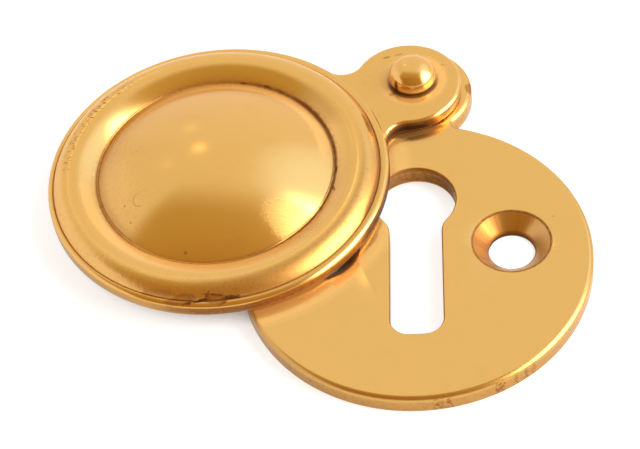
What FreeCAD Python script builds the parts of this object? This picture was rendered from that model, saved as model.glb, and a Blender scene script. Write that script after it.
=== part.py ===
"""Covered keyhole escutcheon: a keyhole plate with a domed cover that swings on one rivet.

The part lies on its back. The origin is midway between the two screw holes, on the back face.
+X runs along the line of the screws, +Y points from the keyhole to the pivot, and +Z points out
of the front face. The cover is built closed, over the plate, and is then swung open.
All sizes are in millimetres and all angles in degrees.
"""

import FreeCAD
import Part
import math
import os

# Backplate, a stamped disc with an ear for the pivot
PLATE_DIAMETER = 32.0
PLATE_THICKNESS = 1.85
PLATE_EAR_RADIUS = 5.6
PLATE_NECK_ROUND = 0.6
PLATE_EDGE_ROUND = 0.45
PLATE_BACK_BREAK = 0.15
DISC_DROP = 1.15
PIVOT_OUT = 4.5

# Keyhole, a round hole that opens into a straight slot with a flattened end
KEYHOLE_RADIUS = 3.75
KEYHOLE_RISE = 6.6
SLOT_WIDTH = 4.75
SLOT_REACH = 13.1
KEYHOLE_CORNER_ROUND = 2.2
SLOT_END_ROUND = 1.7
KEYHOLE_EDGE_ROUND = 0.2

# Countersunk screw holes
SCREW_SPACING = 17.4
SCREW_HOLE_DIAMETER = 4.25
COUNTERSINK_DIAMETER = 7.1
COUNTERSINK_ANGLE = 90.0

# Cover, a pressing with a lip, a raised ring, an inner slope, a groove and a dome
COVER_OVERHANG = 0.1
CLOSED_DROP = 0.7
COVER_EAR_RADIUS = 5.2
EAR_SETBACK = 0.65
COVER_NECK_ROUND = 2.0
COVER_GAP = 0.2
LIP_THICKNESS = 1.35
LIP_EDGE_ROUND = 0.42
EAR_THICKNESS = 1.25
EAR_EDGE_ROUND = 0.35
COVER_BACK_BREAK = 0.15
EMBOSS_SHIFT = 0.2
CREASE_INSET = 0.5
CREASE_DEPTH = 0.06
RING_FLANK = 1.65
RING_HEIGHT = 1.05
RING_INNER_ROUND = 3.2
SLOPE_WIDTH = 2.45
GROOVE_RISE = 0.2
GROOVE_WIDTH = 0.3
GROOVE_DEPTH = 0.12
DOME_HEIGHT = 2.7
COVER_WALL = 1.0

# Pivot rivet, headed over the cover's ear and peened flush at the back
SHANK_DIAMETER = 2.4
HEAD_DIAMETER = 4.4
HEAD_FOOT_DIAMETER = 3.9
HEAD_BELLY = 0.4
HEAD_HEIGHT = 2.05
HEAD_FULLNESS = 2.5
TAIL_DIAMETER = 3.6
TAIL_DEPTH = 0.6
PIVOT_CLEARANCE = 0.05
HEAD_CLEARANCE = 0.05

# How far the cover is swung open, clockwise as seen from the front
OPEN_ANGLE = 60.0

# Sizes that follow from the ones above
COVER_DIAMETER = PLATE_DIAMETER + 2 * COVER_OVERHANG
CREASE_RADIUS = COVER_DIAMETER / 2 - EMBOSS_SHIFT - CREASE_INSET
RING_RADIUS = CREASE_RADIUS - RING_FLANK
GROOVE_RADIUS = RING_RADIUS - SLOPE_WIDTH
DISC_CENTRE = FreeCAD.Vector(0, -DISC_DROP, 0)
PIVOT = DISC_CENTRE + FreeCAD.Vector(0, PLATE_DIAMETER / 2 + PIVOT_OUT, 0)
COVER_CENTRE = FreeCAD.Vector(0, DISC_CENTRE.y - CLOSED_DROP, 0)
COVER_EAR_CENTRE = FreeCAD.Vector(0, PIVOT.y - EAR_SETBACK, 0)
EMBOSS_CENTRE = FreeCAD.Vector(0, COVER_CENTRE.y - EMBOSS_SHIFT, 0)
COVER_BASE = PLATE_THICKNESS + COVER_GAP
EAR_TOP = COVER_BASE + EAR_THICKNESS
LIP_TOP = COVER_BASE + LIP_THICKNESS
UP = FreeCAD.Vector(0, 0, 1)
OVERCUT = 1.0


def at(x, y, z=0.0):
    return FreeCAD.Vector(x, y, z)


def line(start, end):
    return Part.LineSegment(start, end).toShape()


def arc(start, middle, end):
    return Part.Arc(start, middle, end).toShape()


def on_circle(centre, radius, towards):
    """The point of a circle that lies in the direction of another point."""
    return centre + (towards - centre).normalize() * radius


def lobed_face(disc_centre, disc_radius, ear_centre, ear_radius, neck_round):
    """A disc and the pivot ear as one outline, blended by a concave arc on each side."""
    reach = ear_centre.y - disc_centre.y
    to_disc = disc_radius + neck_round
    to_ear = ear_radius + neck_round
    along = (reach ** 2 + to_disc ** 2 - to_ear ** 2) / (2 * reach)
    aside = math.sqrt(to_disc ** 2 - along ** 2)
    blend = {side: disc_centre + at(side * aside, along) for side in (-1, 1)}
    on_disc = {side: on_circle(disc_centre, disc_radius, blend[side]) for side in blend}
    on_ear = {side: on_circle(ear_centre, ear_radius, blend[side]) for side in blend}
    waist = {}
    for side in blend:
        halfway = (on_disc[side] + on_ear[side]) * 0.5
        waist[side] = on_circle(blend[side], neck_round, halfway)
    edges = [
        arc(on_disc[1], disc_centre - at(0, disc_radius), on_disc[-1]),
        arc(on_disc[-1], waist[-1], on_ear[-1]),
        arc(on_ear[-1], ear_centre + at(0, ear_radius), on_ear[1]),
        arc(on_ear[1], waist[1], on_disc[1]),
    ]
    return Part.Face(Part.Wire(edges))


def edges_at(shape, height):
    """The edges of a shape that lie flat at one height."""
    box = [(edge, edge.BoundBox) for edge in shape.Edges]
    return [edge for edge, size in box
            if abs(size.ZMin - height) < 1e-4 and abs(size.ZMax - height) < 1e-4]


def rounded_slab(face, thickness, top_round, back_break):
    slab = face.extrude(UP * thickness)
    base = face.BoundBox.ZMin
    slab = slab.makeFillet(top_round, edges_at(slab, base + thickness))
    return slab.makeFillet(back_break, edges_at(slab, base))


def turned(profile, axis_point):
    """A solid turned about an upright axis from edges drawn as radius and height."""
    face = Part.Face(Part.Wire(profile))
    solid = face.revolve(at(0, 0), UP, 360)
    solid.translate(axis_point)
    return solid


def upright_edges(shape, x, y):
    """The edges of a prism that stand on one point of the plan, and on its mirror image."""
    box = [(edge, edge.BoundBox) for edge in shape.Edges if edge.BoundBox.ZLength > PLATE_THICKNESS]
    return [edge for edge, size in box
            if abs(abs(size.Center.x) - x) < 1e-3 and abs(size.Center.y - y) < 1e-3]


def keyhole_cutter():
    """The keyhole as a prism, with rounded corners above and below the slot."""
    centre = DISC_CENTRE + at(0, KEYHOLE_RISE, -OVERCUT)
    depth = PLATE_THICKNESS + 2 * OVERCUT
    half = SLOT_WIDTH / 2
    slot_length = SLOT_REACH + half
    slot_corner = centre - at(half, slot_length)
    round_hole = Part.makeCylinder(KEYHOLE_RADIUS, depth, centre)
    slot = Part.makeBox(SLOT_WIDTH, slot_length, depth, slot_corner)
    slot = slot.makeFillet(SLOT_END_ROUND, upright_edges(slot, half, slot_corner.y))
    cutter = round_hole.fuse(slot).removeSplitter()
    neck_y = centre.y - math.sqrt(KEYHOLE_RADIUS ** 2 - half ** 2)
    return cutter.makeFillet(KEYHOLE_CORNER_ROUND, upright_edges(cutter, half, neck_y))


def screw_cutter(side):
    """A clearance hole with a conical seat that opens at the front face."""
    hole = SCREW_HOLE_DIAMETER / 2
    seat = COUNTERSINK_DIAMETER / 2
    flare = math.tan(math.radians(COUNTERSINK_ANGLE / 2))
    seat_start = PLATE_THICKNESS - (seat - hole) / flare
    profile = [at(0, 0, -OVERCUT), at(hole, 0, -OVERCUT), at(hole, 0, seat_start),
               at(seat + OVERCUT * flare, 0, PLATE_THICKNESS + OVERCUT),
               at(0, 0, PLATE_THICKNESS + OVERCUT)]
    sides = [line(a, b) for a, b in zip(profile, profile[1:] + profile[:1])]
    return turned(sides, at(side * SCREW_SPACING / 2, 0))


def backplate():
    face = lobed_face(DISC_CENTRE, PLATE_DIAMETER / 2, PIVOT, PLATE_EAR_RADIUS, PLATE_NECK_ROUND)
    plate = rounded_slab(face, PLATE_THICKNESS, PLATE_EDGE_ROUND, PLATE_BACK_BREAK)
    cutter = keyhole_cutter()
    plate = plate.cut(cutter)
    rim = [edge for edge in edges_at(plate, PLATE_THICKNESS)
           if cutter.BoundBox.isInside(edge.BoundBox)]
    plate = plate.makeFillet(KEYHOLE_EDGE_ROUND, rim)
    plate = plate.cut([screw_cutter(-1), screw_cutter(1)])
    return plate.cut(rivet_shank(PLATE_THICKNESS + OVERCUT))


def rivet_shank(top):
    """The shank up to a height, with the tail that is peened flush at the back."""
    shank = SHANK_DIAMETER / 2
    tail = TAIL_DIAMETER / 2
    profile = [at(0, 0, 0), at(tail, 0, 0), at(shank, 0, TAIL_DEPTH), at(shank, 0, top),
               at(0, 0, top)]
    sides = [line(a, b) for a, b in zip(profile, profile[1:] + profile[:1])]
    return turned(sides, PIVOT)


def crown_curve(seat):
    """The head's crown from its widest point to the top, fuller than an ellipse."""
    width = HEAD_DIAMETER / 2
    rise = HEAD_HEIGHT - HEAD_BELLY
    power = 2 / HEAD_FULLNESS
    base = seat + HEAD_BELLY
    points = [at(width * math.cos(turn) ** power, 0, base + rise * math.sin(turn) ** power)
              for turn in (0.0, 0.35, 0.65, 0.95, 1.2)]
    points.append(at(0, 0, seat + HEAD_HEIGHT))
    crown = Part.BSplineCurve()
    crown.interpolate(Points=points, InitialTangent=UP, FinalTangent=at(-1, 0))
    return crown.toShape()


def pivot_rivet():
    """A button-headed rivet, its head just clear of the cover's ear."""
    seat = EAR_TOP + HEAD_CLEARANCE
    foot = at(HEAD_FOOT_DIAMETER / 2, 0, seat)
    belly = at(HEAD_DIAMETER / 2, 0, seat + HEAD_BELLY)
    inset = belly.x - foot.x
    round_under = (inset ** 2 + HEAD_BELLY ** 2) / (2 * inset)
    head = [
        line(at(0, 0, seat), foot),
        arc_between(belly - at(round_under, 0), round_under, foot, belly),
        crown_curve(seat),
        line(at(0, 0, seat + HEAD_HEIGHT), at(0, 0, seat)),
    ]
    return rivet_shank(seat).fuse(turned(head, PIVOT)).removeSplitter()


def tangent_point(point, centre, radius):
    """Where a line from a point touches a circle, on the upper side, in the radius-height plane."""
    reach = centre - point
    distance = math.hypot(reach.x, reach.z)
    heading = math.atan2(reach.z, reach.x)
    swing = math.asin(radius / distance)
    run = math.sqrt(distance ** 2 - radius ** 2)
    return point + at(run * math.cos(heading + swing), 0, run * math.sin(heading + swing))


def flank_circle():
    """Centre and radius of the arc from the ring's crest down to the crease."""
    drop = RING_HEIGHT + CREASE_DEPTH
    radius = (RING_FLANK ** 2 + drop ** 2) / (2 * drop)
    return at(RING_RADIUS, 0, LIP_TOP + RING_HEIGHT - radius), radius


def slope_circle():
    """Centre and radius of the arc from the ring's crest to the inner slope."""
    return at(RING_RADIUS, 0, LIP_TOP + RING_HEIGHT - RING_INNER_ROUND), RING_INNER_ROUND


def dome_circle():
    """Centre and radius of the dome's arc."""
    base = GROOVE_RADIUS - GROOVE_WIDTH
    radius = (base ** 2 + DOME_HEIGHT ** 2) / (2 * DOME_HEIGHT)
    return at(0, 0, LIP_TOP + GROOVE_RISE + DOME_HEIGHT - radius), radius


def arc_between(centre, radius, start, end):
    """The short arc about a centre from one point to another."""
    return arc(start, on_circle(centre, radius, (start + end) * 0.5), end)


def embossing():
    """Crease, ring, slope, groove and dome as one turned solid, filled down to the back."""
    flank_centre, flank = flank_circle()
    slope_centre, slope = slope_circle()
    dome_centre, dome = dome_circle()
    crease = at(CREASE_RADIUS, 0, LIP_TOP - CREASE_DEPTH)
    groove_rim = at(GROOVE_RADIUS, 0, LIP_TOP + GROOVE_RISE)
    groove_floor = at(GROOVE_RADIUS - GROOVE_WIDTH / 2, 0, groove_rim.z - GROOVE_DEPTH)
    dome_foot = at(GROOVE_RADIUS - GROOVE_WIDTH, 0, groove_rim.z)
    dome_top = at(0, 0, dome_centre.z + dome)
    crest = at(RING_RADIUS, 0, LIP_TOP + RING_HEIGHT)
    slope_top = tangent_point(groove_rim, slope_centre, slope)
    foot = COVER_BASE + COVER_BACK_BREAK
    profile = [
        line(at(0, 0, foot), at(CREASE_RADIUS, 0, foot)),
        line(at(CREASE_RADIUS, 0, foot), crease),
        arc_between(flank_centre, flank, crease, crest),
        arc_between(slope_centre, slope, crest, slope_top),
        line(slope_top, groove_rim),
        arc(groove_rim, groove_floor, dome_foot),
        arc_between(dome_centre, dome, dome_foot, dome_top),
        line(dome_top, at(0, 0, foot)),
    ]
    return turned(profile, EMBOSS_CENTRE)


def hollow():
    """The pressing's hollow back: under the dome, under the groove and under the ring."""
    flank_centre, flank = flank_circle()
    slope_centre, slope = slope_circle()
    dome_centre, dome = dome_circle()
    inner_flank = flank - COVER_WALL
    inner_slope = slope - COVER_WALL
    inner_dome = dome - COVER_WALL
    ridge = LIP_TOP + GROOVE_RISE - GROOVE_DEPTH - COVER_WALL
    dome_edge = at(math.sqrt(inner_dome ** 2 - (ridge - dome_centre.z) ** 2), 0, ridge)
    ridge_edge = at(GROOVE_RADIUS, 0, ridge)
    slope_top = tangent_point(ridge_edge, slope_centre, inner_slope)
    crest = at(RING_RADIUS, 0, LIP_TOP + RING_HEIGHT - COVER_WALL)
    wall_top = at(flank_centre.x + inner_flank, 0, flank_centre.z)
    wall_foot = at(wall_top.x, 0, COVER_BASE - OVERCUT)
    dome_top = at(0, 0, dome_centre.z + inner_dome)
    profile = [
        line(at(0, 0, COVER_BASE - OVERCUT), wall_foot),
        line(wall_foot, wall_top),
        arc_between(flank_centre, inner_flank, wall_top, crest),
        arc_between(slope_centre, inner_slope, crest, slope_top),
        line(slope_top, ridge_edge),
        line(ridge_edge, dome_edge),
        arc_between(dome_centre, inner_dome, dome_edge, dome_top),
        line(dome_top, at(0, 0, COVER_BASE - OVERCUT)),
    ]
    return turned(profile, EMBOSS_CENTRE)


def lip():
    """The disc's outer edge, thicker than the ear, its top edge rolled over."""
    radius = COVER_DIAMETER / 2
    inner = CREASE_RADIUS - EMBOSS_SHIFT - COVER_WALL
    foot = COVER_BASE + COVER_BACK_BREAK
    centre = at(radius - LIP_EDGE_ROUND, 0, LIP_TOP - LIP_EDGE_ROUND)
    side = at(radius, 0, centre.z)
    top = at(centre.x, 0, LIP_TOP)
    profile = [
        line(at(inner, 0, foot), at(radius, 0, foot)),
        line(at(radius, 0, foot), side),
        arc_between(centre, LIP_EDGE_ROUND, side, top),
        line(top, at(inner, 0, LIP_TOP)),
        line(at(inner, 0, LIP_TOP), at(inner, 0, foot)),
    ]
    return turned(profile, COVER_CENTRE)


def crease_cutter():
    """The shallow line that parts the ring from the lip."""
    outer = CREASE_RADIUS + CREASE_DEPTH
    profile = [at(CREASE_RADIUS, 0, LIP_TOP - CREASE_DEPTH), at(outer, 0, LIP_TOP),
               at(outer, 0, LIP_TOP + OVERCUT), at(CREASE_RADIUS, 0, LIP_TOP + OVERCUT)]
    sides = [line(a, b) for a, b in zip(profile, profile[1:] + profile[:1])]
    return turned(sides, EMBOSS_CENTRE)


def swing_cover():
    face = lobed_face(COVER_CENTRE, COVER_DIAMETER / 2, COVER_EAR_CENTRE, COVER_EAR_RADIUS,
                      COVER_NECK_ROUND)
    face.translate(at(0, 0, COVER_BASE))
    blank = rounded_slab(face, EAR_THICKNESS, EAR_EDGE_ROUND, COVER_BACK_BREAK)
    cover = blank.fuse([lip(), embossing()]).removeSplitter()
    bore = SHANK_DIAMETER / 2 + PIVOT_CLEARANCE
    pivot_hole = Part.makeCylinder(bore, EAR_TOP + OVERCUT, PIVOT)
    cover = cover.cut([crease_cutter(), hollow(), pivot_hole])
    cover.rotate(PIVOT, UP, -OPEN_ANGLE)
    return cover


def export(name, shape):
    if not shape.isValid() or len(shape.Solids) != 1:
        raise RuntimeError(name + " is not one valid solid")
    shape.Solids[0].exportStep(os.path.join("parts", name + ".step"))
    print(name, "volume", round(shape.Volume, 2), "faces", len(shape.Faces))


os.makedirs("parts", exist_ok=True)
export("backplate", backplate())
export("swing_cover", swing_cover())
export("pivot_rivet", pivot_rivet())
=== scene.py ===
"""Covered keyhole escutcheon in polished brass, dressed over the packed model.

Everything is in metres and in the part's own frame: the origin is midway between the screw holes
on the back face, +Y points from the keyhole to the pivot and +Z out of the front face.
"""
import math

import bmesh
import bpy
from bpy.props import FloatProperty, FloatVectorProperty, PointerProperty
from mathutils import Matrix, Vector


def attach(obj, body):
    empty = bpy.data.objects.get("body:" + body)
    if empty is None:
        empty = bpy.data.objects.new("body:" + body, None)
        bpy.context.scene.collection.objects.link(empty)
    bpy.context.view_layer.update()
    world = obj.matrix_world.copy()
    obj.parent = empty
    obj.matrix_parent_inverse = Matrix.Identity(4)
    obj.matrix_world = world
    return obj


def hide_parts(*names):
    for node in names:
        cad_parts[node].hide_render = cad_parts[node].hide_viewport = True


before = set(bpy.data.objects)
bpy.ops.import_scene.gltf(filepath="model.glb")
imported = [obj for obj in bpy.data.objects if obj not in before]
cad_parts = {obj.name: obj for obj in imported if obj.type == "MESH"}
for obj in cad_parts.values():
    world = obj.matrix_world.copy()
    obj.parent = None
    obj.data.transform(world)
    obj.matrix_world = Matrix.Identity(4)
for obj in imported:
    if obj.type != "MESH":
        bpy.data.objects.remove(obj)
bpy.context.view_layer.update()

bl_info = {
    "name": "Covered keyhole escutcheon",
    "version": (1, 0, 0),
    "blender": (4, 5, 0),
    "location": "View3D > Sidebar > Escutcheon",
    "description": "Builds a brass keyhole plate with a domed swing cover",
    "category": "Object",
}

MM = 0.001
SPINDLE = 1 * MM        # radius of the circle that carries a turned profile
SAME_POINT = 1e-7       # points nearer than this are one point
SMOOTH_BELOW = 32       # edges flatter than this many degrees are shaded smooth


def length(name, description, millimetres):
    return FloatProperty(name=name, description=description, default=millimetres * MM,
                         unit="LENGTH", precision=5)


def share(name, description, default):
    return FloatProperty(name=name, description=description, default=default,
                         min=0.0, max=1.0, subtype="FACTOR")


def number(name, description, default):
    return FloatProperty(name=name, description=description, default=default)


def turn(name, description, degrees):
    return FloatProperty(name=name, description=description, default=math.radians(degrees),
                         subtype="ANGLE")


def colour(name, description, default):
    return FloatVectorProperty(name=name, description=description, default=default,
                               size=3, min=0.0, max=1.0, subtype="COLOR")


class PlateSizes(bpy.types.PropertyGroup):
    """Sizes of the backplate."""
    diameter: length("Diameter", "Width of the round plate", 32.0)
    thickness: length("Thickness", "Thickness of the plate", 1.85)
    ear_radius: length("Ear radius", "Radius of the ear under the pivot", 5.6)
    neck_round: length("Neck round", "Inner corner between disc and ear", 0.6)
    edge_round: length("Edge round", "Rounding of the front edge", 0.45)
    back_break: length("Back break", "Rounding of the back edge", 0.15)
    disc_drop: length("Disc drop", "Disc centre below the line of the screws", 1.15)
    pivot_out: length("Pivot out", "Pivot beyond the disc's edge", 4.5)
    keyhole_radius: length("Keyhole radius", "Round part of the keyhole", 3.75)
    keyhole_rise: length("Keyhole rise", "Round part above the disc's centre", 6.6)
    slot_width: length("Slot width", "Width of the keyhole's slot", 4.75)
    slot_reach: length("Slot reach", "From the round part to the slot's end", 13.1)
    corner_round: length("Corner round", "Where the slot meets the round part", 2.2)
    end_round: length("End round", "Corners at the slot's end", 1.7)
    keyhole_edge: length("Keyhole edge", "Rounding of the keyhole's front edge", 0.2)
    screw_spacing: length("Screw spacing", "Between the screw holes", 17.4)
    screw_hole: length("Screw hole", "Diameter of a screw hole", 4.25)
    countersink: length("Countersink", "Diameter of the countersink", 7.1)


class CoverSizes(bpy.types.PropertyGroup):
    """Sizes of the swing cover."""
    overhang: length("Overhang", "Cover's edge beyond the plate's", 0.1)
    closed_drop: length("Closed drop", "Cover's centre below the plate's when shut", 0.7)
    ear_radius: length("Ear radius", "Radius of the cover's ear", 5.2)
    ear_setback: length("Ear setback", "Ear's centre behind the pivot", 0.65)
    neck_round: length("Neck round", "Inner corner between cover and ear", 2.0)
    gap: length("Gap", "Air between plate and cover", 0.2)
    lip: length("Lip", "Thickness of the rolled lip", 1.35)
    lip_round: length("Lip round", "Rounding of the lip", 0.42)
    ear: length("Ear", "Thickness of the ear", 1.25)
    ear_round: length("Ear round", "Rounding of the ear's edge", 0.35)
    back_break: length("Back break", "Rounding of the back edge", 0.15)
    emboss_shift: length("Emboss shift", "Pressed rings off the cover's centre", 0.2)
    crease_inset: length("Crease inset", "Width of the lip", 0.5)
    crease_depth: length("Crease depth", "Depth of the line inside the lip", 0.06)
    ring_flank: length("Ring flank", "From the crease to the ring's crest", 1.65)
    ring_height: length("Ring height", "Ring's crest above the lip", 1.05)
    ring_inside: length("Ring inside", "Radius of the crest on the dome's side", 3.2)
    slope_width: length("Slope width", "From the crest down to the groove", 2.45)
    slope_turn: number("Slope turn", "Slope where the crest's arc meets the inner one", 0.38)
    groove_rise: length("Groove rise", "Groove's rim above the lip", 0.2)
    groove_width: length("Groove width", "Width of the groove", 0.3)
    groove_depth: length("Groove depth", "Depth of the groove", 0.12)
    dome_height: length("Dome height", "Dome above the groove", 2.7)
    wall: length("Wall", "Thickness of the pressing", 1.0)
    open_angle: turn("Open angle", "Turn of the cover from shut", 60.0)


class RivetSizes(bpy.types.PropertyGroup):
    """Sizes of the pivot rivet."""
    shank: length("Shank", "Diameter of the shank", 2.4)
    head: length("Head", "Widest diameter of the head", 4.4)
    foot: length("Foot", "Diameter of the head's foot", 3.9)
    belly: length("Belly", "Height of the widest point", 0.4)
    height: length("Height", "Height of the head", 2.05)
    fullness: number("Fullness", "How square the crown is; 2 is an ellipse", 2.5)
    tail: length("Tail", "Diameter of the peened tail", 3.6)
    tail_depth: length("Tail depth", "Depth of the peened tail", 0.6)
    clearance: length("Clearance", "Play around the shank and under the head", 0.05)


class BrassLook(bpy.types.PropertyGroup):
    """Colours and polish of the brass."""
    plate: colour("Plate", "Clean brass of the plate", (0.800, 0.468, 0.133))
    cover: colour("Cover", "Clean brass of the cover and rivet", (0.800, 0.455, 0.124))
    # Tarnish and grime also serve as painted shade in corners, creases, bores, the gap and under
    # parts.
    tarnish: colour("Tarnish", "Brown tarnish in corners", (0.36, 0.135, 0.022))
    grime: colour("Grime", "Dark grime in the gap and marks", (0.055, 0.018, 0.006))
    polish: share("Polish", "Roughness of the polished faces", 0.16)
    haze: share("Haze", "Dull share of the hand-rubbed surface", 0.10)


class StageLook(bpy.types.PropertyGroup):
    """Camera and light."""
    azimuth: turn("Azimuth", "Camera's turn to the right of the front", 6.94)
    elevation: turn("Elevation", "Camera's height angle", 49.73)
    roll: turn("Roll", "Camera's tilt", -7.76)
    distance: length("Distance", "Camera to the point it looks at", 199.95)
    aim_x: length("Aim X", "Point looked at, X", -8.97)
    aim_y: length("Aim Y", "Point looked at, Y", 4.44)
    lens: number("Lens", "Focal length in mm on a 36 mm sensor", 120.65)
    room: number("Room", "Brightness of the white tent", 1.0)
    window: number("Window", "Brightness of the window on the right", 7.5)


SIZE_GROUPS = {"escutcheon_plate": PlateSizes, "escutcheon_cover": CoverSizes,
               "escutcheon_rivet": RivetSizes, "escutcheon_brass": BrassLook,
               "escutcheon_stage": StageLook}


# Placement shared by the pieces

def disc_centre():
    return Vector((0, -bpy.context.scene.escutcheon_plate.disc_drop, 0))


def pivot_point():
    plate = bpy.context.scene.escutcheon_plate
    return disc_centre() + Vector((0, plate.diameter / 2 + plate.pivot_out, 0))


def cover_base():
    scene = bpy.context.scene
    return scene.escutcheon_plate.thickness + scene.escutcheon_cover.gap


def cover_radii():
    """Outer radius of the cover, and the radii of its crease, crest and groove."""
    scene = bpy.context.scene
    c = scene.escutcheon_cover
    outer = scene.escutcheon_plate.diameter / 2 + c.overhang
    crease = outer - c.emboss_shift - c.crease_inset
    crest = crease - c.ring_flank
    return outer, crease, crest, crest - c.slope_width


def swung(point):
    """A point of the shut cover after it is swung open about the pivot."""
    pivot = pivot_point()
    open_turn = Matrix.Rotation(-bpy.context.scene.escutcheon_cover.open_angle, 3, "Z")
    return open_turn @ (Vector(point) - pivot) + pivot


def shut_centre():
    """The centre of the shut cover's lip."""
    return disc_centre() - Vector((0, bpy.context.scene.escutcheon_cover.closed_drop, 0))


def emboss_centre():
    """The centre of the pressed rings and the dome, with the cover open."""
    shift = bpy.context.scene.escutcheon_cover.emboss_shift
    return swung(shut_centre() - Vector((0, shift, 0)))


# Outlines: closed lists of plan points, each with its normal

def arc_points(centre, radius, start, end, outward=1):
    """Plan points along an arc; outward is -1 where the arc is a hollow corner."""
    count = max(3, int(abs(end - start) / math.radians(1.5)))
    points = []
    for i in range(count + 1):
        angle = start + (end - start) * i / count
        ray = Vector((math.cos(angle), math.sin(angle), 0))
        points.append((centre + ray * radius, ray * outward))
    return points


def heading(a, b):
    return math.atan2(b.y - a.y, b.x - a.x)


def neck_centres(disc, disc_radius, ear, ear_radius, neck):
    """Centres of the two hollow arcs that join a disc to an ear above it."""
    reach = ear.y - disc.y
    along = (reach ** 2 + (disc_radius + neck) ** 2 - (ear_radius + neck) ** 2) / (2 * reach)
    aside = math.sqrt((disc_radius + neck) ** 2 - along ** 2)
    return disc + Vector((aside, along, 0)), disc + Vector((-aside, along, 0))


def ear_run(disc, disc_radius, ear, ear_radius, neck):
    """The outline from the disc round the ear and back, anticlockwise."""
    right, left = neck_centres(disc, disc_radius, ear, ear_radius, neck)
    a = heading(right, disc)
    b = heading(right, ear)
    c = heading(ear, right)
    d = heading(ear, left)
    run = arc_points(right, neck, a, b - math.tau if b > a else b, -1)
    run += arc_points(ear, ear_radius, c, d + math.tau if d < c else d)
    e = heading(left, ear)
    f = heading(left, disc)
    return run + arc_points(left, neck, e, f - math.tau if f > e else f, -1)


def without_repeats(outline):
    kept = []
    for point, normal in outline:
        if not kept or (point - kept[-1][0]).length > SAME_POINT:
            kept.append((point, normal))
    if (kept[0][0] - kept[-1][0]).length < SAME_POINT:
        kept.pop()
    return kept


def circle(centre, radius, count=240):
    return [(centre + Vector((math.cos(a), math.sin(a), 0)) * radius,
             Vector((math.cos(a), math.sin(a), 0)))
            for a in (math.tau * i / count for i in range(count))]


def rounding(radius, top, steps=7):
    """Inset and height of points along a quarter round, from the wall up to the face."""
    return [(radius - radius * math.cos(a), top - radius + radius * math.sin(a))
            for a in (math.pi / 2 * i / steps for i in range(steps + 1))]


def back_rounding(radius, base, steps=3):
    """Inset and height of points along a quarter round, from the back face up to the wall."""
    return [(radius - radius * math.sin(a), base + radius - radius * math.cos(a))
            for a in (math.pi / 2 * i / steps for i in range(steps + 1))]


# Mesh building

def add_object(name, data):
    made = bpy.data.objects.new(name, data)
    bpy.context.scene.collection.objects.link(made)
    return made


def absorb(mesh, piece):
    """Moves an object's mesh into the mesh that is being built."""
    mesh.from_mesh(piece.data)
    bpy.data.objects.remove(piece)


def wall(mesh, outline, profile, inside=False):
    """Skins an outline along a profile of (inset, height); returns its first and last loops."""
    loops = []
    for inset, height in profile:
        loops.append([mesh.verts.new((p - n * inset) + Vector((0, 0, height))) for p, n in outline])
    for low, high in zip(loops, loops[1:]):
        for i in range(len(outline)):
            j = (i + 1) % len(outline)
            corners = (low[i], low[j], high[j], high[i])
            mesh.faces.new(corners[::-1] if inside else corners)
    return loops[0], loops[-1]


def loop_edges(loop):
    ends = zip(loop, loop[1:] + loop[:1])
    return [a.link_edges[[e.other_vert(a) for e in a.link_edges].index(b)] for a, b in ends]


def cap(mesh, loops, upward):
    """Fills the flat face between an outer loop and the loops of its holes."""
    edges = [edge for loop in loops for edge in loop_edges(loop)]
    made = bmesh.ops.triangle_fill(mesh, edges=edges, use_beauty=True, normal=(0, 0, 1))
    for face in (f for f in made["geom"] if isinstance(f, bmesh.types.BMFace)):
        face.normal_update()
        if (face.normal.z > 0) != upward:
            face.normal_flip()


def finish_mesh(mesh, name):
    """A smooth-shaded object whose flat faces keep their flat reflections."""
    bmesh.ops.remove_doubles(mesh, verts=mesh.verts, dist=1e-8)
    for face in mesh.faces:
        face.smooth = True
    for edge in mesh.edges:
        edge.smooth = edge.calc_face_angle(0) < math.radians(SMOOTH_BELOW)
    data = bpy.data.meshes.new(name)
    mesh.to_mesh(data)
    mesh.free()
    raw = add_object(name + "_raw", data)
    weighted = raw.modifiers.new("weighted", "WEIGHTED_NORMAL")
    weighted.keep_sharp = True
    return as_plain_mesh(raw, name)


def as_plain_mesh(source, name):
    """The evaluated result of an object as a new object with a plain mesh."""
    bpy.context.view_layer.update()
    graph = bpy.context.evaluated_depsgraph_get()
    data = bpy.data.meshes.new_from_object(source.evaluated_get(graph))
    data.name = name
    bpy.data.objects.remove(source)
    return add_object(name, data)


def place(piece, material, body, slot, *nodes):
    piece.data.materials.clear()
    piece.data.materials.append(material)
    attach(piece, body)
    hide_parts(*nodes)


# Turned forms, made by a tree of geometry nodes

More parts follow.
